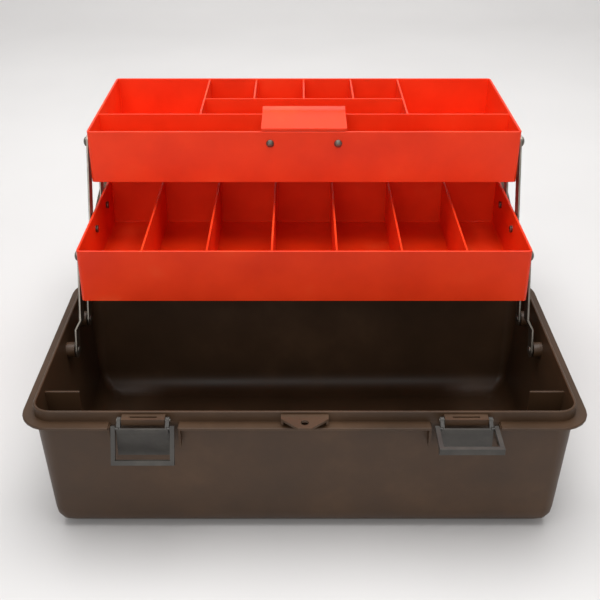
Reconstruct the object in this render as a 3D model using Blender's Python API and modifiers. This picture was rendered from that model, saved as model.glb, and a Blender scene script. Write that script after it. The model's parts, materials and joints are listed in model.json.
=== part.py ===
# Sewing box with two trays that swing out on steel arms, modelled open.
# Metres, +Z up, +Y to the back. The origin is the centre of the box's flat bottom.

import math

import bmesh
import bpy
from mathutils import Matrix, Vector

# ---- driving dimensions ----
FLANGE_LENGTH = 0.424
FLANGE_DEPTH = 0.236
FLANGE_TOP = 0.109
FLANGE_THICKNESS = 0.0026
FLANGE_CORNER = 0.024
LIP_HEIGHT = 0.0085
LIP_INSET = 0.0085
WALL = 0.0025
WALL_DRAFT = math.radians(3.8)
FLOOR_RADIUS = 0.020

LID_HEIGHT = 0.1212
LID_GAP = 0.0004
LID_WALL_INSET = 0.0052
LID_DRAFT = math.radians(2.2)
LID_RADIUS = 0.014
OPEN_ANGLE = math.radians(163.7)
HINGE_BEHIND = 0.0048
HINGE_RADIUS = 0.0045
HINGE_PIN_RADIUS = 0.0018
KNUCKLE_COUNT = 9
KNUCKLE_SPAN = 0.320

TRAY_LENGTH = 0.370
TRAY_DEPTH = 0.162
TRAY_HEIGHT = 0.0465
TRAY_WALL = 0.002
TRAY_DRAFT = 0.0005
TRAY_CORNER = 0.0035
LOWER_COMPARTMENTS = 7
FRONT_PARTITION = 0.0500
CENTRE_PARTITION = 0.0960
DIVIDER = 0.0016

ARM_ANGLE = math.radians(71)
LOWER_ARM = 0.080
UPPER_ARM = 0.076
PIVOT_SPACING = 0.054
BOX_PIVOT = (0.061, 0.1004)
PIVOT_DEPTH = 0.014
LOWER_MIDDLE_PIVOT = 0.075
UPPER_FRONT_PIVOT = 0.0155
ARM_WIDTH = 0.013
ARM_THICKNESS = 0.0015
RIB_Y = -0.071
JOGGLE = 0.0042
RIVET_RADIUS = 0.002
RIVET_HOLE = 0.0023
RIVET_HEAD = 0.0042

TAB_WIDTH = 0.073
TAB_RIVETS = 0.029
LATCH_X = 0.1185
LATCH_CUT = 0.026
LEVER_PIN = (-0.1132, 0.1128)
BAIL_PIVOT = (-0.1196, 0.1095)
BAIL_SWING = {"left": math.radians(25), "right": math.radians(90)}
HANDLE_LENGTH = 0.128
HANDLE_REACH = 0.038
HANDLE_DROP = math.radians(7.2)

BROWN = (0.060, 0.037, 0.024)
ORANGE = (0.90, 0.055, 0.012)
GREY = (0.045, 0.044, 0.042)
STEEL = (0.45, 0.43, 0.40)

BACK = FLANGE_DEPTH / 2
HINGE = Vector((0, BACK + HINGE_BEHIND, FLANGE_TOP + LID_GAP / 2))
ARM_DIRECTION = Vector((0, math.cos(ARM_ANGLE), math.sin(ARM_ANGLE)))
MIDDLE_LOW = Vector((0, *BOX_PIVOT)) + LOWER_ARM * ARM_DIRECTION
MIDDLE_HIGH = MIDDLE_LOW + UPPER_ARM * ARM_DIRECTION
LOWER_FRONT = MIDDLE_LOW.y - LOWER_MIDDLE_PIVOT
LOWER_TOP = MIDDLE_LOW.z + PIVOT_DEPTH
UPPER_FRONT = MIDDLE_HIGH.y - UPPER_FRONT_PIVOT
UPPER_TOP = MIDDLE_HIGH.z + PIVOT_DEPTH
ARM_X = TRAY_LENGTH / 2 + 0.002
BOX_ARM_X = ARM_X + JOGGLE


# ---- scene, collections and materials ----
def clear_scene():
    for obj in list(bpy.data.objects):
        bpy.data.objects.remove(obj, do_unlink=True)


def new_collection(name):
    collection = bpy.data.collections.new(name)
    bpy.context.scene.collection.children.link(collection)
    return collection


def new_material(name, colour, roughness, metallic=0.0):
    material = bpy.data.materials.new(name)
    material.use_nodes = True
    shader = material.node_tree.nodes["Principled BSDF"]
    shader.inputs["Base Color"].default_value = (*colour, 1)
    shader.inputs["Roughness"].default_value = roughness
    shader.inputs["Metallic"].default_value = metallic
    return material


clear_scene()
PARTS = new_collection("sewing_box")
TOOLS = new_collection("cutters")
BODY_PLASTIC = new_material("brown_plastic", BROWN, 0.5)
TRAY_PLASTIC = new_material("orange_plastic", ORANGE, 0.4)
LATCH_PLASTIC = new_material("grey_plastic", GREY, 0.5)
ARM_STEEL = new_material("steel", STEEL, 0.4, 1.0)


# ---- shape helpers ----
def add_part(name, mesh_or_bmesh, material):
    """Put a finished mesh into the parts collection under its own name."""
    mesh = mesh_or_bmesh
    if isinstance(mesh, bmesh.types.BMesh):
        mesh = bpy.data.meshes.new(name)
        mesh_or_bmesh.to_mesh(mesh)
        mesh_or_bmesh.free()
    mesh.materials.append(material)
    obj = bpy.data.objects.new(name, mesh)
    PARTS.objects.link(obj)
    return obj


def as_tool(obj):
    """Make an object a helper for Booleans: kept, but not part of the model."""
    for collection in list(obj.users_collection):
        collection.objects.unlink(obj)
    TOOLS.objects.link(obj)
    obj.hide_render = True
    obj.display_type = "WIRE"
    return obj


def boolean(obj, tool, operation, solver="EXACT"):
    modifier = obj.modifiers.new(f"{operation.lower()} {tool.name}", "BOOLEAN")
    modifier.operation = operation
    modifier.solver = solver
    modifier.object = as_tool(tool)


def move_with_tools(obj, place):
    """Turn a piece into its pose, with the helpers that shape it."""
    obj.matrix_world = place
    for modifier in obj.modifiers:
        if modifier.type == "BOOLEAN":
            move_with_tools(modifier.object, place)


def add_block(bm, corner, opposite):
    size = [abs(b - a) for a, b in zip(corner, opposite)]
    middle = [(a + b) / 2 for a, b in zip(corner, opposite)]
    place = Matrix.Translation(middle) @ Matrix.Diagonal((*size, 1))
    bmesh.ops.create_cube(bm, size=1, matrix=place)


def add_rod(bm, start, end, radius, segments=12):
    start, end = Vector(start), Vector(end)
    turn = (end - start).to_track_quat("Z", "Y").to_matrix().to_4x4()
    place = Matrix.Translation((start + end) / 2) @ turn
    bmesh.ops.create_cone(
        bm, cap_ends=True, segments=segments, radius1=radius, radius2=radius,
        depth=(end - start).length, matrix=place,
    )


def blocks(name, boxes, material=BODY_PLASTIC):
    bm = bmesh.new()
    for low, high in boxes:
        add_block(bm, low, high)
    return add_part(name, bm, material)


def rods(name, ends, radius, material=BODY_PLASTIC):
    bm = bmesh.new()
    for start, end in ends:
        add_rod(bm, start, end, radius)
    return add_part(name, bm, material)


def rounded_ring(half_x, half_y, radius, z, y0, steps):
    """Points of a rounded rectangle at height z, anticlockwise from above."""
    points = []
    for corner, (sx, sy) in enumerate(((1, 1), (-1, 1), (-1, -1), (1, -1))):
        cx, cy = sx * (half_x - radius), sy * (half_y - radius)
        for step in range(steps + 1):
            angle = math.pi / 2 * (corner + step / steps)
            points.append((cx + radius * math.cos(angle), y0 + cy + radius * math.sin(angle), z))
    return points


def loft(name, half_x, half_y, corner, y0, sections, material, steps=6):
    """A moulded tub: rounded rectangles at (z, inset) from its underside, over
    its rim and down its inside to the floor, closed at both ends."""
    bm = bmesh.new()
    rings = []
    for z, inset in sections:
        radius = max(corner - inset, corner / 4)
        ring = rounded_ring(half_x - inset, half_y - inset, radius, z, y0, steps)
        rings.append([bm.verts.new(p) for p in ring])
    count = len(rings[0])
    for low, high in zip(rings, rings[1:]):
        for i in range(count):
            j = (i + 1) % count
            bm.faces.new((low[i], low[j], high[j], high[i]))
    bm.faces.new(rings[0][::-1])
    bm.faces.new(rings[-1])
    bmesh.ops.recalc_face_normals(bm, faces=bm.faces)
    return add_part(name, bm, material)


def flat_plate(name, outlines, thickness, place, material):
    """A flat outline, with any holes, given thickness and put in place."""
    curve = bpy.data.curves.new(name, "CURVE")
    curve.dimensions = "2D"
    curve.fill_mode = "BOTH"
    curve.extrude = thickness / 2
    for outline in outlines:
        spline = curve.splines.new("POLY")
        spline.points.add(len(outline) - 1)
        spline.use_cyclic_u = True
        for point, (x, y) in zip(spline.points, outline):
            point.co = (x, y, 0, 1)
    guide = bpy.data.objects.new(name + "_outline", curve)
    PARTS.objects.link(guide)
    bpy.context.view_layer.update()
    graph = bpy.context.evaluated_depsgraph_get()
    mesh = bpy.data.meshes.new_from_object(guide.evaluated_get(graph))
    bpy.data.objects.remove(guide)
    bm = bmesh.new()
    bm.from_mesh(mesh)
    bmesh.ops.remove_doubles(bm, verts=bm.verts, dist=1e-5)
    bmesh.ops.transform(bm, matrix=place, verts=bm.verts)
    bmesh.ops.recalc_face_normals(bm, faces=bm.faces)
    bm.to_mesh(mesh)
    bm.free()
    mesh.name = name
    mesh.materials.clear()
    return add_part(name, mesh, material)


def circle(centre, radius, segments=16):
    turns = [2 * math.pi * i / segments for i in range(segments)]
    return [(centre[0] + radius * math.cos(a), centre[1] + radius * math.sin(a)) for a in turns]


def side_plane(x):
    """A plate's x and y become the object's y and z, at this x."""
    turn = Matrix(((0, 0, 1, x), (1, 0, 0, 0), (0, 1, 0, 0), (0, 0, 0, 1)))
    return turn


def turned(name, profile, place, material, segments=12):
    """A turned piece: a profile of (radius, height) with a Screw modifier."""
    mesh = bpy.data.meshes.new(name)
    points = [(r, 0, h) for r, h in profile]
    mesh.from_pydata(points, [(i, i + 1) for i in range(len(points) - 1)], [])
    obj = add_part(name, mesh, material)
    screw = obj.modifiers.new("turn", "SCREW")
    screw.steps = segments
    screw.render_steps = segments
    screw.use_merge_vertices = True
    screw.merge_threshold = 0.00001
    obj.matrix_world = place
    return obj


# ---- box body ----
def wall_inset(z):
    return LIP_INSET + 0.0006 + (FLANGE_TOP - z) * math.tan(WALL_DRAFT)


def corner_arc(radius, centre_inset, centre_z, steps=5):
    turns = [math.pi / 2 * i / steps for i in range(steps + 1)]
    return [(centre_z - radius * math.cos(a), centre_inset - radius * math.sin(a)) for a in turns]


def box_sections():
    """The body's profile: floor, wall, flange, lip, then the inside."""
    under = FLANGE_TOP - FLANGE_THICKNESS
    lip = FLANGE_TOP + LIP_HEIGHT
    centre = wall_inset(FLOOR_RADIUS) + FLOOR_RADIUS
    edge = 0.0005
    profile = corner_arc(FLOOR_RADIUS, centre, FLOOR_RADIUS)
    profile += [(under, wall_inset(under)), (under, edge), (under + edge, 0)]
    profile += [(FLANGE_TOP - edge, 0), (FLANGE_TOP, edge), (FLANGE_TOP, LIP_INSET)]
    profile += [(lip - edge, LIP_INSET + 0.0003), (lip, LIP_INSET + 0.0008)]
    profile += [(lip, LIP_INSET + 0.0019), (lip - edge, LIP_INSET + WALL - 0.0001)]
    inner = corner_arc(FLOOR_RADIUS - WALL, centre, FLOOR_RADIUS)
    return profile + [(FLANGE_TOP, wall_inset(FLANGE_TOP) + WALL)] + inner[::-1]


def box_wall_x(z):
    return FLANGE_LENGTH / 2 - wall_inset(z)


def knuckles(first, name, tab_low, tab_high):
    """Every second hinge knuckle, from number first, each on a short tab."""
    pitch = KNUCKLE_SPAN / KNUCKLE_COUNT
    bm_boxes = []
    barrels = []
    for i in range(first, KNUCKLE_COUNT, 2):
        low = -KNUCKLE_SPAN / 2 + i * pitch + 0.0004
        high = low + pitch - 0.0008
        bm_boxes.append(((low, BACK - 0.002, tab_low), (high, HINGE.y, tab_high)))
        barrels.append(((low, HINGE.y, HINGE.z), (high, HINGE.y, HINGE.z)))
    return blocks(name + "_tabs", bm_boxes), rods(name + "_barrels", barrels, HINGE_RADIUS)


def padlock_tab(name, low, neck):
    """The pierced tab at the middle of the front edge, rooted at y = neck."""
    front = -BACK - 0.0090
    outline = [(-0.0175, neck), (-0.0175, -BACK + 0.003), (-0.005, front),
               (0.005, front), (0.0175, -BACK + 0.003), (0.0175, neck)]
    hole = circle((0, -BACK - 0.002), 0.003)
    place = Matrix.Translation((0, 0, low + 0.001))
    return flat_plate(name, [outline, hole], 0.002, place, BODY_PLASTIC)


def make_box_body():
    body = loft("box_body", FLANGE_LENGTH / 2, FLANGE_DEPTH / 2, FLANGE_CORNER, 0,
                box_sections(), BODY_PLASTIC)
    edge = -BACK + LIP_INSET
    cuts = []
    ribs = []
    for side in (-1, 1):
        x = side * LATCH_X
        cuts.append(((x - LATCH_CUT, -BACK - 0.002, 0.100), (x + LATCH_CUT, edge - 0.0002, 0.112)))
        for half in (-1, 1):
            rib = x + half * LATCH_CUT
            ribs.append(((rib - 0.0009, -BACK + 0.002, 0.090), (rib + 0.0009, edge + 0.002, 0.1075)))
    boolean(body, blocks("latch_flange_cut", cuts), "DIFFERENCE")
    boolean(body, blocks("latch_ribs", ribs), "UNION")
    boolean(body, latch_bosses(), "UNION")
    pins = [((s * LATCH_X - 0.03, *LEVER_PIN), (s * LATCH_X + 0.03, *LEVER_PIN)) for s in (-1, 1)]
    boolean(body, rods("latch_pin_bores", pins, 0.0015), "DIFFERENCE")
    boolean(body, padlock_tab("body_tab", FLANGE_TOP + 0.0045, edge + 0.0013), "UNION")
    webs = [((s * 0.0165 - 0.0008, -BACK + 0.003, FLANGE_TOP - 0.0006),
             (s * 0.0165 + 0.0008, edge + 0.001, FLANGE_TOP + 0.005)) for s in (-1, 1)]
    boolean(body, blocks("tab_webs", webs), "UNION")
    for tool in knuckles(0, "body_knuckle", FLANGE_TOP - FLANGE_THICKNESS, FLANGE_TOP - 0.0001):
        boolean(body, tool, "UNION")
    bore = [((-0.2, HINGE.y, HINGE.z), (0.2, HINGE.y, HINGE.z))]
    boolean(body, rods("body_hinge_bore", bore, HINGE_PIN_RADIUS + 0.0002), "DIFFERENCE")
    boolean(body, corner_ribs(), "UNION")
    boolean(body, arm_bosses(), "UNION")
    holes = []
    for s in (-1, 1):
        for y in (BOX_PIVOT[0], BOX_PIVOT[0] - PIVOT_SPACING):
            holes.append(((s * 0.19, y, BOX_PIVOT[1]), (s * 0.21, y, BOX_PIVOT[1])))
    boolean(body, rods("box_pivot_holes", holes, RIVET_HOLE), "DIFFERENCE")
    return body


def latch_bosses():
    """The slotted block over each latch, standing out from the lip."""
    bm = bmesh.new()
    front, back = -BACK + 0.0016, -BACK + LIP_INSET + 0.0012
    low, high = FLANGE_TOP + 0.0015, FLANGE_TOP + 0.0065
    for side in (-1, 1):
        add_block(bm, (side * LATCH_X - 0.016, front, low), (side * LATCH_X + 0.016, back, high))
    block = add_part("latch_bosses", bm, BODY_PLASTIC)
    slots = [((s * LATCH_X - 0.010, front + 0.0022, high - 0.0011),
              (s * LATCH_X + 0.010, front + 0.0042, high + 0.001)) for s in (-1, 1)]
    boolean(block, blocks("boss_slots", slots), "DIFFERENCE")
    return block


def corner_ribs():
    """The upright rib across each front corner, beside the lower tray."""
    top, foot, inner = FLANGE_TOP + 0.001, 0.0012, 0.174
    high, low = box_wall_x(top) - WALL / 2, box_wall_x(FLOOR_RADIUS) - WALL / 2
    outline = [(inner, foot), (low - 0.014, foot), (low - 0.005, 0.007), (low, FLOOR_RADIUS),
               (high, top), (inner, top)]
    upright = Matrix(((1, 0, 0, 0), (0, 0, -1, RIB_Y), (0, 1, 0, 0), (0, 0, 0, 1)))
    pair = bmesh.new()
    for side in (-1, 1):
        place = Matrix.Diagonal((side, 1, 1, 1)) @ upright
        rib = as_tool(flat_plate("corner_rib", [outline], 0.002, place, BODY_PLASTIC))
        pair.from_mesh(rib.data)
    bmesh.ops.recalc_face_normals(pair, faces=pair.faces)
    return add_part("corner_ribs", pair, BODY_PLASTIC)


def arm_bosses():
    """Round bosses on the inside of the end walls, which carry the arms."""
    ends = []
    for side in (-1, 1):
        for y in (BOX_PIVOT[0], BOX_PIVOT[0] - PIVOT_SPACING):
            inner = side * (BOX_ARM_X + ARM_THICKNESS + 0.0003)
            outer = side * (box_wall_x(BOX_PIVOT[1]) - WALL / 2)
            ends.append(((inner, y, BOX_PIVOT[1]), (outer, y, BOX_PIVOT[1])))
    return rods("arm_bosses", ends, 0.0065)


# ---- lid ----
def lid_inset(height):
    return LID_WALL_INSET + height * math.tan(LID_DRAFT)


def lid_sections():
    """The lid's profile when shut: from its crown down the outside to the rim
    flange, then up the inside to the crown again."""
    base = FLANGE_TOP + LID_GAP
    crown = LID_HEIGHT - LID_GAP / 2
    centre = lid_inset(crown - LID_RADIUS) + LID_RADIUS
    outer = corner_arc(LID_RADIUS, centre, LID_RADIUS)
    outer += [(crown - 0.0031, lid_inset(0.003)), (crown - 0.003, 0.0004), (crown - 0.0026, 0)]
    outer += [(crown - 0.0004, 0), (crown, 0.0004), (crown, LID_WALL_INSET + WALL)]
    inner = corner_arc(LID_RADIUS - WALL, centre, LID_RADIUS)
    return [(base + crown - z, inset) for z, inset in outer + inner[::-1]]


def lid_pose():
    """Turns the lid from closed to open about the hinge pin."""
    turn = Matrix.Rotation(-OPEN_ANGLE, 4, "X")
    return Matrix.Translation(HINGE) @ turn @ Matrix.Translation(-HINGE)


def make_lid():
    lid = loft("lid", FLANGE_LENGTH / 2, FLANGE_DEPTH / 2, FLANGE_CORNER, 0,
               lid_sections(), BODY_PLASTIC)
    notch_top = FLANGE_TOP + 0.0072
    inside = -BACK + LIP_INSET + 0.0003
    notches = [((-0.0185, -BACK - 0.002, FLANGE_TOP - 0.001), (0.0185, inside, notch_top))]
    cuts = []
    catches = []
    for side in (-1, 1):
        x = side * LATCH_X
        notches.append(((x - 0.0250, -BACK - 0.002, FLANGE_TOP - 0.001), (x + 0.0250, inside, notch_top)))
        cuts.append(((x - LATCH_CUT, -BACK - 0.002, FLANGE_TOP - 0.001),
                     (x + LATCH_CUT, -BACK + LID_WALL_INSET - 0.0002, FLANGE_TOP + 0.006)))
        catches.append(((x - 0.017, -BACK + 0.0032, FLANGE_TOP + 0.0205),
                        (x + 0.017, -BACK + LID_WALL_INSET + 0.0018, FLANGE_TOP + 0.0235)))
    boolean(lid, blocks("lid_notches", notches), "DIFFERENCE")
    boolean(lid, blocks("lid_flange_cut", cuts), "DIFFERENCE")
    boolean(lid, blocks("latch_catches", catches), "UNION")
    boolean(lid, padlock_tab("lid_tab", FLANGE_TOP + 0.0074, -BACK + 0.0068), "UNION")
    low = FLANGE_TOP + LID_GAP + 0.0001
    for tool in knuckles(1, "lid_knuckle", low, low + 0.0025):
        boolean(lid, tool, "UNION")
    bore = [((-0.2, HINGE.y, HINGE.z), (0.2, HINGE.y, HINGE.z))]
    boolean(lid, rods("lid_hinge_bore", bore, HINGE_PIN_RADIUS + 0.0002), "DIFFERENCE")
    crown = HINGE.z + LID_HEIGHT
    posts = []
    bores = []
    for side in (-1, 1):
        x = side * HANDLE_LENGTH / 2
        inner = x - side * 0.0072
        posts.append(((inner - 0.003, -0.006, crown - 0.001), (inner + 0.003, 0.006, crown + 0.011)))
        bores.append(((x - 0.02 * side, 0, crown + 0.006), (x, 0, crown + 0.006)))
    boolean(lid, blocks("handle_posts", posts), "UNION")
    boolean(lid, rods("handle_post_bores", bores, 0.0022), "DIFFERENCE")
    move_with_tools(lid, lid_pose())
    return lid


def make_hinge_pin():
    half = KNUCKLE_SPAN / 2 + 0.001
    ends = [((-half, HINGE.y, HINGE.z), (half, HINGE.y, HINGE.z))]
    return rods("hinge_pin", ends, HINGE_PIN_RADIUS, ARM_STEEL)


def handle_pose():
    """The handle hangs from the open lid until its grip meets the table."""
    pivot = Vector((0, 0, HINGE.z + LID_HEIGHT + 0.006))
    swing = Matrix.Rotation(HANDLE_DROP, 4, "X")
    return lid_pose() @ Matrix.Translation(pivot) @ swing


def make_handle():
    """A bent grip: two arms from the pivots and a round bar between them."""
    half, reach = HANDLE_LENGTH / 2, HANDLE_REACH
    arms = [((s * half - 0.003, -0.003, -0.004), (s * half + 0.003, reach, 0.004)) for s in (-1, 1)]
    handle = blocks("handle", arms)
    eyes = [((s * half - 0.003, 0, 0), (s * half + 0.003, 0, 0)) for s in (-1, 1)]
    boolean(handle, rods("handle_eyes", eyes, 0.0055), "UNION")
    grip = [((-half - 0.003, reach, 0), (half + 0.003, reach, 0))]
    boolean(handle, rods("handle_grip", grip, 0.0062), "UNION")
    bores = [((s * half - 0.01, 0, 0), (s * half + 0.01, 0, 0)) for s in (-1, 1)]
    boolean(handle, rods("handle_bores", bores, 0.0022), "DIFFERENCE")
    move_with_tools(handle, handle_pose())
    for side, word in ((-1, "left"), (1, "right")):
        ends = [((side * (half - 0.0115), 0, 0), (side * (half + 0.0045), 0, 0))]
        pin = rods("handle_pin_" + word, ends, 0.0019, ARM_STEEL)
        pin.matrix_world = handle_pose()


# ---- trays ----
def tray_sections(top):
    """The tray's profile: under its floor, up the outside, over the rim and down."""
    bottom = top - TRAY_HEIGHT
    edge = 0.0004
    outer = [(bottom, TRAY_DRAFT + 0.002), (bottom + 0.0008, TRAY_DRAFT), (top - edge, 0), (top, edge)]
    inner = [(top, TRAY_WALL - edge), (top - edge, TRAY_WALL)]
    inner += [(bottom + TRAY_WALL + 0.0008, TRAY_WALL + TRAY_DRAFT)]
    return outer + inner + [(bottom + TRAY_WALL, TRAY_WALL + TRAY_DRAFT + 0.001)]


def make_tray(name, front, top, dividers, pivots):
    tray = loft(name, TRAY_LENGTH / 2, TRAY_DEPTH / 2, TRAY_CORNER, front + TRAY_DEPTH / 2,
                tray_sections(top), TRAY_PLASTIC, steps=3)
    for number, boxes in enumerate(dividers):
        boolean(tray, blocks(f"{name}_dividers_{number}", boxes), "UNION")
    holes = [((s * 0.178, y, top - PIVOT_DEPTH), (s * 0.190, y, top - PIVOT_DEPTH))
             for y in pivots for s in (-1, 1)]
    boolean(tray, rods(name + "_pivot_holes", holes, RIVET_HOLE), "DIFFERENCE")
    return tray


def divider_x(x, y0, y1, low, high):
    """A divider that runs front to back."""
    return ((x - DIVIDER / 2, y0, low), (x + DIVIDER / 2, y1, high))


def divider_y(y, x0, x1, low, high):
    """A divider that runs from side to side."""
    return ((x0, y - DIVIDER / 2, low), (x1, y + DIVIDER / 2, high))


def make_lower_tray():
    low, high = LOWER_TOP - TRAY_HEIGHT + 0.001, LOWER_TOP - 0.0006
    pitch = TRAY_LENGTH / LOWER_COMPARTMENTS
    front, back = LOWER_FRONT + 0.001, LOWER_FRONT + TRAY_DEPTH - 0.001
    across = [divider_x(-TRAY_LENGTH / 2 + i * pitch, front, back, low, high)
              for i in range(1, LOWER_COMPARTMENTS)]
    pivots = [LOWER_FRONT + LOWER_MIDDLE_PIVOT + i * PIVOT_SPACING for i in (-1, 0, 1)]
    return make_tray("lower_tray", LOWER_FRONT, LOWER_TOP, [across], pivots)


def make_upper_tray():
    low, high = UPPER_TOP - TRAY_HEIGHT + 0.001, UPPER_TOP - 0.0006
    end, quarter = TRAY_LENGTH / 2 - 0.001, TRAY_LENGTH / 4
    first, second = UPPER_FRONT + FRONT_PARTITION, UPPER_FRONT + CENTRE_PARTITION
    back = UPPER_FRONT + TRAY_DEPTH - 0.001
    long_one = [divider_y(first, -end, end, low, high)]
    sides = [divider_x(s * quarter, first, back, low, high) for s in (-1, 1)]
    centre = [divider_y(second, -quarter, quarter, low, high)]
    small = [divider_x(i * quarter / 2, second, back, low, high) for i in (-1, 0, 1)]
    pivots = [UPPER_FRONT + UPPER_FRONT_PIVOT + i * PIVOT_SPACING for i in (0, 1)]
    tray = make_tray("upper_tray", UPPER_FRONT, UPPER_TOP, [long_one, sides, centre, small], pivots)
    holes = [((s * TAB_RIVETS, UPPER_FRONT - 0.01, UPPER_TOP - 0.0105),
              (s * TAB_RIVETS, UPPER_FRONT + 0.01, UPPER_TOP - 0.0105)) for s in (-1, 1)]
    boolean(tray, rods("tab_rivet_holes", holes, RIVET_HOLE), "DIFFERENCE")
    return tray


def make_lift_tab():
    """The plate over the front compartment: a foot down inside the front wall,
    a sloping deck over the rim and a raised lip along its back."""
    inside = UPPER_FRONT + TRAY_WALL + 0.0008
    deck = UPPER_TOP + 0.0006
    side = [(inside, UPPER_TOP - 0.0160), (inside + 0.002, UPPER_TOP - 0.0160),
            (inside + 0.002, deck), (UPPER_FRONT + 0.0470, deck + 0.0020),
            (UPPER_FRONT + 0.0485, deck + 0.0048), (UPPER_FRONT + 0.0480, deck + 0.0068),
            (UPPER_FRONT + 0.0455, deck + 0.0050), (UPPER_FRONT + 0.0445, deck + 0.0040),
            (UPPER_FRONT + 0.0005, deck + 0.0022), (UPPER_FRONT + 0.0005, deck), (inside, deck)]
    tab = flat_plate("lift_tab", [side], TAB_WIDTH, side_plane(0), TRAY_PLASTIC)
    holes = [((s * TAB_RIVETS, UPPER_FRONT - 0.01, UPPER_TOP - 0.0105),
              (s * TAB_RIVETS, UPPER_FRONT + 0.01, UPPER_TOP - 0.0105)) for s in (-1, 1)]
    boolean(tab, rods("tab_holes", holes, RIVET_HOLE), "DIFFERENCE", "MANIFOLD")
    return tab


# ---- arms and rivets ----
def strip(name, side, start, length, pivots, joggle):
    """A steel arm in the plane beside a tray, drawn along its own length from
    its lowest pivot. A joggled arm steps outward to its pivot on the box."""
    over = ARM_WIDTH / 2
    half = ARM_THICKNESS / 2
    ends = (-over, length + over)
    section = [(ends[1], -half), (ends[1], half)]
    if joggle:
        section += [(0.0262, half), (0.0182, JOGGLE + half), (ends[0], JOGGLE + half)]
        section += [(ends[0], JOGGLE - half), (0.018, JOGGLE - half), (0.026, -half)]
    else:
        section += [(ends[0], half), (ends[0], -half)]
    lean = Matrix.Rotation(ARM_ANGLE - math.pi / 2, 4, "X")
    edgeways = Matrix(((0, side, 0, side * ARM_X), (0, 0, 1, 0), (1, 0, 0, 0), (0, 0, 0, 1)))
    place = Matrix.Translation((0, start.y, start.z)) @ lean @ edgeways
    arm = flat_plate(name, [section], ARM_WIDTH, place, ARM_STEEL)
    rounds = [(length + over * math.sin(a), over * math.cos(a)) for a in
              [math.pi * i / 10 for i in range(11)]]
    rounds += [(-over * math.sin(a), -over * math.cos(a)) for a in
               [math.pi * i / 10 for i in range(11)]]
    flat = Matrix(((0, 0, 1, side * (ARM_X + JOGGLE / 2)), (0, 1, 0, 0), (1, 0, 0, 0), (0, 0, 0, 1)))
    place = Matrix.Translation((0, start.y, start.z)) @ lean @ flat
    outline = flat_plate(name + "_outline", [rounds], 0.012, place, ARM_STEEL)
    boolean(arm, outline, "INTERSECT")
    holes = []
    for along in pivots:
        point = start + along * ARM_DIRECTION
        holes.append(((side * 0.180, point.y, point.z), (side * 0.200, point.y, point.z)))
    boolean(arm, rods(name + "_holes", holes, RIVET_HOLE), "DIFFERENCE")
    return arm


def rivet(name, x_head, x_tail, y, z):
    """A domed rivet along X: its head outside at x_head, its tail at x_tail."""
    grip = abs(x_head - x_tail)
    dome = [(0, 0.0021), (0.0018, 0.0018), (0.0033, 0.0011), (RIVET_HEAD, 0)]
    shank = [(RIVET_RADIUS, 0), (RIVET_RADIUS, -grip), (0.0033, -grip), (0.0033, -grip - 0.0012)]
    profile = dome + shank + [(0, -grip - 0.0012)]
    outward = 1 if x_head > x_tail else -1
    turn = Vector((outward, 0, 0)).to_track_quat("Z", "Y").to_matrix().to_4x4()
    place = Matrix.Translation((x_head, y, z)) @ turn
    return turned(name, profile, place, ARM_STEEL)


def make_arms_and_rivets():
    gap = 0.0003
    low_z, high_z = LOWER_TOP - PIVOT_DEPTH, UPPER_TOP - PIVOT_DEPTH
    forward = Vector((0, -PIVOT_SPACING, 0))
    box_start = Vector((0, *BOX_PIVOT))
    for side, word in ((-1, "left"), (1, "right")):
        strip(f"long_arm_{word}", side, box_start, LOWER_ARM + UPPER_ARM,
              (0, LOWER_ARM, LOWER_ARM + UPPER_ARM), True)
        strip(f"front_arm_{word}", side, box_start + forward, LOWER_ARM, (0, LOWER_ARM), True)
        strip(f"rear_arm_{word}", side, MIDDLE_LOW - forward, UPPER_ARM, (0, UPPER_ARM), False)
        tray_head = side * (ARM_X + ARM_THICKNESS / 2 + gap)
        tray_tail = side * (TRAY_LENGTH / 2 - TRAY_WALL - TRAY_DRAFT - gap)
        for spot, i in (("front", -1), ("middle", 0), ("rear", 1)):
            y = LOWER_FRONT + LOWER_MIDDLE_PIVOT + i * PIVOT_SPACING
            rivet(f"lower_tray_rivet_{spot}_{word}", tray_head, tray_tail, y, low_z)
        for spot, i in (("front", 0), ("rear", 1)):
            y = UPPER_FRONT + UPPER_FRONT_PIVOT + i * PIVOT_SPACING
            rivet(f"upper_tray_rivet_{spot}_{word}", tray_head, tray_tail, y, high_z)
        box_head = side * (BOX_ARM_X - ARM_THICKNESS / 2 - gap)
        box_tail = side * (box_wall_x(BOX_PIVOT[1]) + 0.0006)
        for spot, i in (("front", -1), ("rear", 0)):
            y = BOX_PIVOT[0] + i * PIVOT_SPACING
            rivet(f"box_rivet_{spot}_{word}", box_head, box_tail, y, BOX_PIVOT[1])


def make_tab_rivets():
    grip = 0.0003 + TRAY_WALL + 0.0008 + 0.002 + 0.0003
    dome = [(0, 0.0020), (0.0018, 0.0016), (0.0030, 0.0009), (0.0035, 0)]
    shank = [(RIVET_RADIUS, 0), (RIVET_RADIUS, -grip), (0.0030, -grip), (0.0030, -grip - 0.001)]
    turn = Vector((0, -1, 0)).to_track_quat("Z", "Y").to_matrix().to_4x4()
    for side, word in ((-1, "left"), (1, "right")):
        place = Matrix.Translation((side * TAB_RIVETS, UPPER_FRONT - 0.0003, UPPER_TOP - 0.0105)) @ turn
        turned("tab_rivet_" + word, dome + shank + [(0, -grip - 0.001)], place, ARM_STEEL)


# ---- latches ----
def lever_ear(name, x):
    """A cheek of the lever: round about its pin, then down to the plate."""
    y, z = LEVER_PIN
    turns = [math.radians(10 + 18 * i) for i in range(9)]
    outline = [(y + 0.0025 * math.cos(a), z + 0.0025 * math.sin(a)) for a in turns]
    outline += [(-0.1203, 0.1100), (-0.1203, 0.0980), (-0.1184, 0.0980), (-0.1165, 0.1075)]
    return flat_plate(name, [outline], 0.0029, side_plane(x), LATCH_PLASTIC)


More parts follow.
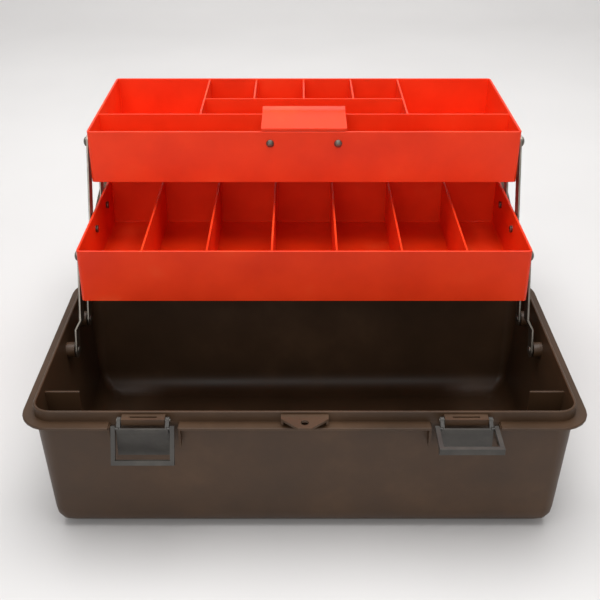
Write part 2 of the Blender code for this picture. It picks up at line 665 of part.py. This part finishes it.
def make_latch(side, word):
    """A draw latch's lever: a plate that hangs from two cheeks on the boss's pin."""
    x = side * LATCH_X
    front, back = -0.1205, -0.1187
    lever = blocks("latch_lever_" + word, [((x - 0.0193, front, 0.0868), (x + 0.0193, back, 0.1095))],
                   LATCH_PLASTIC)
    for s, half in ((-1, "a"), (1, "b")):
        boolean(lever, lever_ear(f"lever_ear_{word}_{half}", x + s * 0.01785), "UNION")
    bore = [((x - 0.025, *LEVER_PIN), (x + 0.025, *LEVER_PIN))]
    boolean(lever, rods("lever_bore_" + word, bore, 0.0015), "DIFFERENCE")
    bar = [((x - 0.0188, front - 0.0008, 0.1068), (x + 0.0188, back - 0.0004, 0.1100))]
    boolean(lever, blocks("lever_bar_" + word, bar, LATCH_PLASTIC), "UNION")
    sockets = [((x + s * 0.0173, *BAIL_PIVOT), (x + s * 0.022, *BAIL_PIVOT)) for s in (-1, 1)]
    boolean(lever, rods("bail_sockets_" + word, sockets, 0.00135), "DIFFERENCE")
    pin = [((x - 0.0198, *LEVER_PIN), (x + 0.0198, *LEVER_PIN))]
    rods("latch_pin_" + word, pin, 0.0012, ARM_STEEL)
    return lever


def make_bail(side, word, swing):
    """A flat frame with a stub at the top of each leg that turns in the lever."""
    x = side * LATCH_X
    y, z = BAIL_PIVOT
    legs = [((x + s * 0.0200, y - 0.0014, 0.0832), (x + s * 0.0232, y + 0.0014, z + 0.0022))
            for s in (-1, 1)]
    bail = blocks("latch_bail_" + word, legs, LATCH_PLASTIC)
    bar = [((x - 0.0232, y - 0.0016, 0.0828), (x + 0.0232, y + 0.0034, 0.0862))]
    boolean(bail, blocks("bail_bar_" + word, bar, LATCH_PLASTIC), "UNION")
    stubs = [((x + s * 0.0176, y, z), (x + s * 0.0215, y, z)) for s in (-1, 1)]
    boolean(bail, rods("bail_stubs_" + word, stubs, 0.0011, LATCH_PLASTIC), "UNION")
    pivot = Vector((0, y, z))
    turn = Matrix.Rotation(-swing, 4, "X")
    move_with_tools(bail, Matrix.Translation(pivot) @ turn @ Matrix.Translation(-pivot))
    return bail


make_box_body()
make_lid()
make_hinge_pin()
make_handle()
make_lower_tray()
make_upper_tray()
make_lift_tab()
make_tab_rivets()
make_arms_and_rivets()
make_latch(-1, "left")
make_latch(1, "right")
make_bail(-1, "left", BAIL_SWING["left"])
make_bail(1, "right", BAIL_SWING["right"])
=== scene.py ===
import json
import math

import bmesh
import bpy
from mathutils import Matrix, Vector

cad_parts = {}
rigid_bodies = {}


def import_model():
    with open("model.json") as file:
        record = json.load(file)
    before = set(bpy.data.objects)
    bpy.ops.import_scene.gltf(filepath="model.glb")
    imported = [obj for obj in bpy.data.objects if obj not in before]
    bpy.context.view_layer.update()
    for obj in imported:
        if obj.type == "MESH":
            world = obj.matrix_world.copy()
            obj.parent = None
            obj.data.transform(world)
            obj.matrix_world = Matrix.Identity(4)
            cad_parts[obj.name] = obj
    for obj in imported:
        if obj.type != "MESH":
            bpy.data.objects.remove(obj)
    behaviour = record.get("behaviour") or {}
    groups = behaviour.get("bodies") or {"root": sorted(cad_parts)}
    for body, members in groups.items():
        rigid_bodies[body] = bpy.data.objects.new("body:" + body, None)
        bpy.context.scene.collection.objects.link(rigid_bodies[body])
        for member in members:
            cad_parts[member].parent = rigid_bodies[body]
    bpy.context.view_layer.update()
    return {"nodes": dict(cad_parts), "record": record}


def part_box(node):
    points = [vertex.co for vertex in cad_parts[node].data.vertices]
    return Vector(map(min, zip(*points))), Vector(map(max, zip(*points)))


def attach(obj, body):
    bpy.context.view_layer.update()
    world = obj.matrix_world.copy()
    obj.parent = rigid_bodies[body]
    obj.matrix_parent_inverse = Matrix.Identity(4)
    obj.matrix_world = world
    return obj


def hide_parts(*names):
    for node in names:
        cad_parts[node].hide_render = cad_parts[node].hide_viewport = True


for startObject in list(bpy.data.objects):
    bpy.data.objects.remove(startObject, do_unlink=True)
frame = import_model()
nodes = frame["nodes"]
print("frame loaded:", len(nodes), "nodes")

def linear(hexText, alpha=1.0):
    # sRGB hex to the linear values that shaders take
    out = []
    for start in (0, 2, 4):
        value = int(hexText.lstrip("#")[start:start + 2], 16) / 255
        out.append(value / 12.92 if value <= 0.04045 else ((value + 0.055) / 1.055) ** 2.4)
    return (*out, alpha)


def addNode(tree, kind, settings=None, links=None, **inputs):
    # one node with its settings, its input values and its incoming links
    node = tree.nodes.new(kind)
    for key, value in (settings or {}).items():
        setattr(node, key, value)
    for key, value in inputs.items():
        node.inputs[key.replace("_", " ")].default_value = value
    for key, socket in (links or {}).items():
        tree.links.new(socket, node.inputs[key])
    return node


def newMaterial(name, values):
    material = bpy.data.materials.new(name)
    material.use_nodes = True
    tree = material.node_tree
    shader = tree.nodes["Principled BSDF"]
    for key, value in values.items():
        shader.inputs[key].default_value = value
    return material, tree, shader


def ramp(tree, source, stops):
    node = addNode(tree, "ShaderNodeValToRGB", links={"Fac": source})
    elements = node.color_ramp.elements
    elements[0].position, elements[0].color = stops[0]
    elements[1].position, elements[1].color = stops[-1]
    for position, colour in stops[1:-1]:
        elements.new(position).color = colour
    return node


def scaled(tree, size):
    # object coordinates stretched by size, in cycles per metre
    place = addNode(tree, "ShaderNodeTexCoord")
    return addNode(tree, "ShaderNodeMapping", links={"Vector": place.outputs["Object"]},
                   Scale=size).outputs["Vector"]


def addBump(tree, shader, height, strength, distance):
    bump = addNode(tree, "ShaderNodeBump", links={"Height": height}, Strength=strength,
                   Distance=distance)
    tree.links.new(bump.outputs["Normal"], shader.inputs["Normal"])


trayFinish = {
    "base": "#F03C10", "deep": "#E2330B", "rub": "#F8582A",
    "cloud": 22.0,      # broad tone drift, about 45 mm across
    "pebble": 1400.0,   # fine moulded texture, drawn coarser than real so it shows
}


def makeTrayPlastic():
    # injection-moulded polypropylene: semi-gloss, a little light passes into it
    material, tree, shader = newMaterial("trayPolypropylene", {
        "IOR": 1.49, "Subsurface Weight": 0.12, "Subsurface Scale": 0.004,
        "Specular IOR Level": 0.3})
    shader.inputs["Subsurface Radius"].default_value = (1.0, 0.25, 0.08)
    cloud = addNode(tree, "ShaderNodeTexNoise", links={"Vector": scaled(tree, (1, 1, 1))},
                    Scale=trayFinish["cloud"], Detail=3.0)
    tone = ramp(tree, cloud.outputs["Fac"], [(0.3, linear(trayFinish["deep"])),
                                             (0.6, linear(trayFinish["base"])),
                                             (0.95, linear(trayFinish["rub"]))])
    tree.links.new(tone.outputs["Color"], shader.inputs["Base Color"])
    grain = addNode(tree, "ShaderNodeTexNoise", links={"Vector": scaled(tree, (1, 1, 1))},
                    Scale=trayFinish["pebble"], Detail=2.0)
    sheen = addNode(tree, "ShaderNodeMapRange", links={"Value": cloud.outputs["Fac"]},
                    To_Min=0.36, To_Max=0.5)
    tree.links.new(sheen.outputs["Result"], shader.inputs["Roughness"])
    addBump(tree, shader, grain.outputs["Fac"], 0.12, 0.0002)
    return material


bodyFinish = {
    "base": "#45301E", "deep": "#3A2818", "dust": "#573F2A", "scratch": "#8A6E4E",
    "cloud": 14.0,      # tone drift, about 70 mm across
    "pebble": 1100.0,   # fine moulded texture
    "scuff": 60.0,      # scratches a few centimetres long
    "scratchStrength": 0.35,
}


def makeBodyPlastic(name, finish):
    # moulded polypropylene, satin, with fine scratches from years of handling
    material, tree, shader = newMaterial(name, {"IOR": 1.49,
                                                "Specular IOR Level": 0.4})
    cloud = addNode(tree, "ShaderNodeTexNoise", links={"Vector": scaled(tree, (1, 1, 1))},
                    Scale=finish["cloud"], Detail=5.0, Roughness=0.6)
    tone = ramp(tree, cloud.outputs["Fac"], [(0.3, linear(finish["deep"])),
                                             (0.55, linear(finish["base"])),
                                             (0.85, linear(finish["dust"]))])
    stretched = addNode(tree, "ShaderNodeTexNoise",
                        links={"Vector": scaled(tree, (0.7, 1.0, 14.0))},
                        Scale=finish["scuff"], Detail=6.0, Roughness=0.7, Distortion=0.4)
    line = ramp(tree, stretched.outputs["Fac"], [(0.70, (0, 0, 0, 1)), (0.76, (1, 1, 1, 1))])
    faint = addNode(tree, "ShaderNodeMath", {"operation": "MULTIPLY"},
                    links={0: line.outputs["Color"]})
    faint.inputs[1].default_value = finish["scratchStrength"]
    mixed = addNode(tree, "ShaderNodeMix", {"data_type": "RGBA"},
                    links={0: faint.outputs["Value"], 6: tone.outputs["Color"]})
    mixed.inputs[7].default_value = linear(finish["scratch"])
    tree.links.new(mixed.outputs[2], shader.inputs["Base Color"])
    sheen = addNode(tree, "ShaderNodeMapRange", links={"Value": cloud.outputs["Fac"]},
                    To_Min=0.36, To_Max=0.56)
    tree.links.new(sheen.outputs["Result"], shader.inputs["Roughness"])
    grain = addNode(tree, "ShaderNodeTexNoise", links={"Vector": scaled(tree, (1, 1, 1))},
                    Scale=finish["pebble"], Detail=2.0)
    addBump(tree, shader, grain.outputs["Fac"], 0.15, 0.0002)
    return material


latchFinish = {
    "base": "#3F3C38", "deep": "#35322F", "dust": "#4E4A44", "scratch": "#6F6A61",
    "cloud": 60.0, "pebble": 1600.0, "scuff": 140.0, "scratchStrength": 0.35,
}
handleFinish = dict(bodyFinish, base="#3F3126", deep="#362A20", dust="#514132", cloud=40.0)

steelFinish = {
    "arm": ("#A39C92", "#8B847A", 0.36),
    "rivet": ("#8D877E", "#6F6A62", 0.42),
    "brush": 900.0,     # rolling lines about 1 mm apart
    "cloud": 90.0,      # tone drift, about 11 mm across
}


def makeSteel(name, tones):
    # rolled mild steel strip, dull zinc: long faint lines and cloudy tone
    light, dark, roughness = tones
    material, tree, shader = newMaterial(name, {"Metallic": 1.0, "Roughness": roughness})
    lines = addNode(tree, "ShaderNodeTexNoise", links={"Vector": scaled(tree, (1, 1.0, 0.06))},
                    Scale=steelFinish["brush"], Detail=4.0)
    cloud = addNode(tree, "ShaderNodeTexNoise", links={"Vector": scaled(tree, (1, 1, 1))},
                    Scale=steelFinish["cloud"], Detail=4.0)
    tone = ramp(tree, cloud.outputs["Fac"], [(0.35, linear(dark)), (0.7, linear(light))])
    tree.links.new(tone.outputs["Color"], shader.inputs["Base Color"])
    sheen = addNode(tree, "ShaderNodeMapRange", links={"Value": lines.outputs["Fac"]},
                    To_Min=roughness - 0.08, To_Max=roughness + 0.12)
    tree.links.new(sheen.outputs["Result"], shader.inputs["Roughness"])
    addBump(tree, shader, lines.outputs["Fac"], 0.1, 0.0001)
    return material


materials = {
    "tray_plastic": makeTrayPlastic(),
    "body_plastic": makeBodyPlastic("bodyPolypropylene", bodyFinish),
    "latch_plastic": makeBodyPlastic("latchAcetal", latchFinish),
    "handle_plastic": makeBodyPlastic("handlePolypropylene", handleFinish),
    "arm_steel": makeSteel("armZincSteel", steelFinish["arm"]),
    "rivet_steel": makeSteel("rivetSteel", steelFinish["rivet"]),
}
print("materials made:", len(materials))


cameraValues = {"place": (-0.0035, -0.7168, 0.5395), "pitch": 28.4, "focal": 1000.0,
                "frameWidth": 600.0, "sensor": 36.0}


def makeCamera():
    data = bpy.data.cameras.new("camera")
    data.sensor_width = cameraValues["sensor"]
    data.lens = cameraValues["focal"] / cameraValues["frameWidth"] * cameraValues["sensor"]
    camera = bpy.data.objects.new("camera", data)
    camera.location = cameraValues["place"]
    camera.rotation_euler = (math.radians(90 - cameraValues["pitch"]), 0, 0)
    bpy.context.scene.collection.objects.link(camera)
    bpy.context.scene.camera = camera


makeCamera()
bpy.context.scene.view_settings.view_transform = "Standard"


# moulded and pressed pieces are finished from the CAD nodes
edgeFinish = {
    # node: (edge radius in metres, rounds)
    "box_body": (0.0004, 2), "lid": (0.0004, 2), "lower_tray": (0.0004, 2),
    "upper_tray": (0.0004, 2), "lift_tab": (0.0005, 3), "handle": (0.0016, 4),
    "latch_lever": (0.0005, 3), "latch_bail": (0.0005, 3), "arm": (0.0002, 2),
}
mergeDistance = 0.000002
sharpAngle = math.radians(32)
slotOf = {part["node"]: part["material_slot"] for part in frame["record"]["subparts"]}
bodyOf = {node: body for body, group in frame["record"]["behaviour"]["bodies"].items()
          for node in group}


def plainMesh(obj, name):
    # the evaluated object as a mesh of its own, with no modifiers left
    bpy.context.view_layer.update()
    graph = bpy.context.evaluated_depsgraph_get()
    mesh = bpy.data.meshes.new_from_object(obj.evaluated_get(graph))
    mesh.name = name
    return mesh


def finishPiece(nodeName, radius, rounds):
    # a merged copy of the node with its edges softened
    bm = bmesh.new()
    bm.from_mesh(nodes[nodeName].data)
    bmesh.ops.remove_doubles(bm, verts=bm.verts, dist=mergeDistance)
    mesh = bpy.data.meshes.new(nodeName + "Finished")
    bm.to_mesh(mesh)
    bm.free()
    mesh.materials.clear()
    mesh.materials.append(materials[slotOf[nodeName]])
    piece = bpy.data.objects.new(nodeName + "_finished", mesh)
    bpy.context.scene.collection.objects.link(piece)
    mesh.shade_smooth()
    mesh.set_sharp_from_angle(angle=sharpAngle)
    bevel = piece.modifiers.new("soft edges", "BEVEL")
    bevel.width = radius
    bevel.segments = rounds
    bevel.limit_method = "ANGLE"
    bevel.angle_limit = sharpAngle
    weighted = piece.modifiers.new("flat faces stay flat", "WEIGHTED_NORMAL")
    weighted.keep_sharp = True
    done = plainMesh(piece, nodeName + "Mesh")
    piece.modifiers.clear()
    piece.data = done
    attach(piece, bodyOf[nodeName])
    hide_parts(nodeName)
    return piece


def finishMouldedPieces():
    for nodeName in sorted(nodes):
        for start, (radius, rounds) in edgeFinish.items():
            if nodeName.startswith(start) or (start == "arm" and "_arm_" in nodeName):
                finishPiece(nodeName, radius, rounds)
                break


finishMouldedPieces()
print("moulded and pressed pieces finished")


# rivets come from one Geometry Nodes tree and are merged for each body
rivetValues = {
    "domeRise": 0.0021,     # height of the domed head
    "shankRadius": 0.0020,
    "tailRise": 0.0012,     # height of the upset tail
    "tailShare": 0.78,      # tail radius as a share of the head's
    "sides": 24,
    "rings": 12,
}


def makeRivetTree():
    # each point carries the turn of its rivet in the attribute "turn"
    tree = bpy.data.node_groups.new("rivetSetter", "GeometryNodeTree")
    for label, kind in (("Geometry", "NodeSocketGeometry"), ("Head Radius", "NodeSocketFloat"),
                        ("Dome Rise", "NodeSocketFloat"), ("Shank Radius", "NodeSocketFloat"),
                        ("Length", "NodeSocketFloat"), ("Tail Radius", "NodeSocketFloat"),
                        ("Tail Rise", "NodeSocketFloat"), ("Sides", "NodeSocketInt"),
                        ("Metal", "NodeSocketMaterial")):
        tree.interface.new_socket(label, in_out="INPUT", socket_type=kind)
    tree.interface.new_socket("Geometry", in_out="OUTPUT", socket_type="NodeSocketGeometry")
    given = addNode(tree, "NodeGroupInput").outputs
    half = addNode(tree, "ShaderNodeMath", {"operation": "MULTIPLY"}, {0: given["Length"]})
    half.inputs[1].default_value = 0.5
    under = addNode(tree, "ShaderNodeMath", {"operation": "MULTIPLY"}, {0: half.outputs[0]})
    under.inputs[1].default_value = -1.0
    shank = addNode(tree, "GeometryNodeMeshCylinder", links={
        "Vertices": given["Sides"], "Radius": given["Shank Radius"], "Depth": given["Length"]})
    # head and tail are flattened balls, whose inner halves sit round the shank
    ball = addNode(tree, "GeometryNodeMeshUVSphere", links={"Segments": given["Sides"]},
                   Rings=rivetValues["rings"], Radius=1.0)
    headSize = addNode(tree, "ShaderNodeCombineXYZ", links={
        "X": given["Head Radius"], "Y": given["Head Radius"], "Z": given["Dome Rise"]})
    headPlace = addNode(tree, "ShaderNodeCombineXYZ", links={"Z": half.outputs[0]})
    head = addNode(tree, "GeometryNodeTransform", links={
        "Geometry": ball.outputs["Mesh"], "Translation": headPlace.outputs["Vector"],
        "Scale": headSize.outputs["Vector"]})
    tailSize = addNode(tree, "ShaderNodeCombineXYZ", links={
        "X": given["Tail Radius"], "Y": given["Tail Radius"], "Z": given["Tail Rise"]})
    tailPlace = addNode(tree, "ShaderNodeCombineXYZ", links={"Z": under.outputs[0]})
    tail = addNode(tree, "GeometryNodeTransform", links={
        "Geometry": ball.outputs["Mesh"], "Translation": tailPlace.outputs["Vector"],
        "Scale": tailSize.outputs["Vector"]})
    whole = addNode(tree, "GeometryNodeJoinGeometry")
    for part in (shank.outputs["Mesh"], head.outputs["Geometry"], tail.outputs["Geometry"]):
        tree.links.new(part, whole.inputs["Geometry"])
    turn = addNode(tree, "GeometryNodeInputNamedAttribute", {"data_type": "FLOAT_VECTOR"}, Name="turn")
    placed = addNode(tree, "GeometryNodeInstanceOnPoints", links={
        "Points": given["Geometry"], "Instance": whole.outputs["Geometry"],
        "Rotation": turn.outputs["Attribute"]})
    real = addNode(tree, "GeometryNodeRealizeInstances", links={"Geometry": placed.outputs["Instances"]})
    smooth = addNode(tree, "GeometryNodeSetShadeSmooth", links={"Geometry": real.outputs["Geometry"]})
    metal = addNode(tree, "GeometryNodeSetMaterial", links={
        "Geometry": smooth.outputs["Geometry"], "Material": given["Metal"]})
    addNode(tree, "NodeGroupOutput", links={"Geometry": metal.outputs["Geometry"]})
    return tree


def setRivets(tree, label, nodeNames):
    # one object for rivets that share a body and a size
    low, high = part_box(nodeNames[0])
    span = [b - a for a, b in zip(low, high)]
    length, headRadius = span[0], span[1] / 2
    mesh = bpy.data.meshes.new("rivetPoints")
    middles, turns = [], []
    for nodeName in nodeNames:
        low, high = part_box(nodeName)
        middle = [(a + b) / 2 for a, b in zip(low, high)]
        middles.append(middle)
        outward = math.copysign(math.pi / 2, middle[0])
        turns.append((0.0, outward, 0.0))
    mesh.from_pydata(middles, [], [])
    turnValues = mesh.attributes.new("turn", "FLOAT_VECTOR", "POINT")
    for item, value in zip(turnValues.data, turns):
        item.vector = value
    rise = rivetValues["domeRise"] + rivetValues["tailRise"]
    values = {"Head Radius": headRadius, "Dome Rise": rivetValues["domeRise"],
              "Shank Radius": rivetValues["shankRadius"], "Length": length - rise,
              "Tail Radius": headRadius * rivetValues["tailShare"],
              "Tail Rise": rivetValues["tailRise"], "Sides": rivetValues["sides"],
              "Metal": materials["rivet_steel"]}
    piece = bpy.data.objects.new(label + "_rivets", mesh)
    bpy.context.scene.collection.objects.link(piece)
    maker = piece.modifiers.new("rivets", "NODES")
    maker.node_group = tree
    for item in tree.interface.items_tree:
        if item.in_out == "INPUT" and item.name in values:
            maker[item.identifier] = values[item.name]
    done = plainMesh(piece, label + "RivetMesh")
    piece.modifiers.clear()
    # the tail is shorter than the head, so the rivet is moved to sit as the CAD one does
    shift = (rivetValues["tailRise"] - rivetValues["domeRise"]) / 2
    for vertex in done.vertices:
        vertex.co.x += math.copysign(shift, vertex.co.x)
    piece.data = done
    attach(piece, bodyOf[nodeNames[0]])
    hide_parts(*nodeNames)


def makeRivets():
    tree = makeRivetTree()
    for label in ("box", "lower_tray", "upper_tray"):
        setRivets(tree, label, [name for name in sorted(nodes) if name.startswith(label + "_rivet")])
    for nodeName in nodes:
        if "pin" in nodeName or nodeName.startswith("tab_rivet"):
            nodes[nodeName].data.materials.clear()
            nodes[nodeName].data.materials.append(materials["rivet_steel"])


makeRivets()
print("rivets and pins made")


studio = {"width": 6.0, "front": -3.0, "bend": 1.6, "height": 3.0,
          "bendRadius": 0.8, "bendSteps": 16, "floorGap": 0.0002, "world": 0.3}


def makeSweep():
    # a floor that curves up into a backdrop
    points = [(studio["front"], -studio["floorGap"])]
    for step in range(studio["bendSteps"] + 1):
        angle = math.pi / 2 * step / studio["bendSteps"]
        points.append((studio["bend"] + studio["bendRadius"] * math.sin(angle),
                       -studio["floorGap"] + studio["bendRadius"] * (1 - math.cos(angle))))
    points.append((studio["bend"] + studio["bendRadius"], studio["height"]))
    mesh = bpy.data.meshes.new("studioSweep")
    bm = bmesh.new()
    left = [bm.verts.new((-studio["width"] / 2, y, z)) for y, z in points]
    right = [bm.verts.new((studio["width"] / 2, y, z)) for y, z in points]
    for i in range(len(points) - 1):
        bm.faces.new((left[i], right[i], right[i + 1], left[i + 1]))
    bm.to_mesh(mesh)
    bm.free()
    mesh.shade_smooth()
    material, tree, shader = newMaterial("paperSweep", {"Roughness": 0.75})
    paper = addNode(tree, "ShaderNodeTexNoise", links={"Vector": scaled(tree, (1, 1, 1))}, Scale=3.0)
    tone = ramp(tree, paper.outputs["Fac"], [(0.2, linear("#D5D3D2")), (0.8, linear("#DBD9D8"))])
    tree.links.new(tone.outputs["Color"], shader.inputs["Base Color"])
    mesh.materials.clear()
    mesh.materials.append(material)
    sweep = bpy.data.objects.new("studioSweep", mesh)
    bpy.context.scene.collection.objects.link(sweep)


lights = {
    # name: (place, aim, size, watts)
    "overhead": ((0.0, 0.0, 1.7), (0.0, 0.05, 0.1), 1.6, 34.0),
    "front": ((-0.35, -1.8, 1.1), (0.0, 0.0, 0.15), 1.4, 12.0),
    "backdrop": ((0.0, 0.9, 1.8), (0.0, 2.4, 0.9), 1.6, 16.0),
}


def makeLights():
    for name, (place, aim, size, watts) in lights.items():
        data = bpy.data.lights.new(name, "AREA")
        data.size = size
        data.energy = watts
        lamp = bpy.data.objects.new(name, data)
        lamp.location = place
        lamp.rotation_euler = (Vector(aim) - Vector(place)).to_track_quat("-Z", "Y").to_euler()
        bpy.context.scene.collection.objects.link(lamp)
    world = bpy.data.worlds.new("studio")
    bpy.context.scene.world = world
    world.use_nodes = True
    background = world.node_tree.nodes["Background"]
    background.inputs["Color"].default_value = (1, 1, 1, 1)
    background.inputs["Strength"].default_value = studio["world"]


makeSweep()
makeLights()
print("studio made")
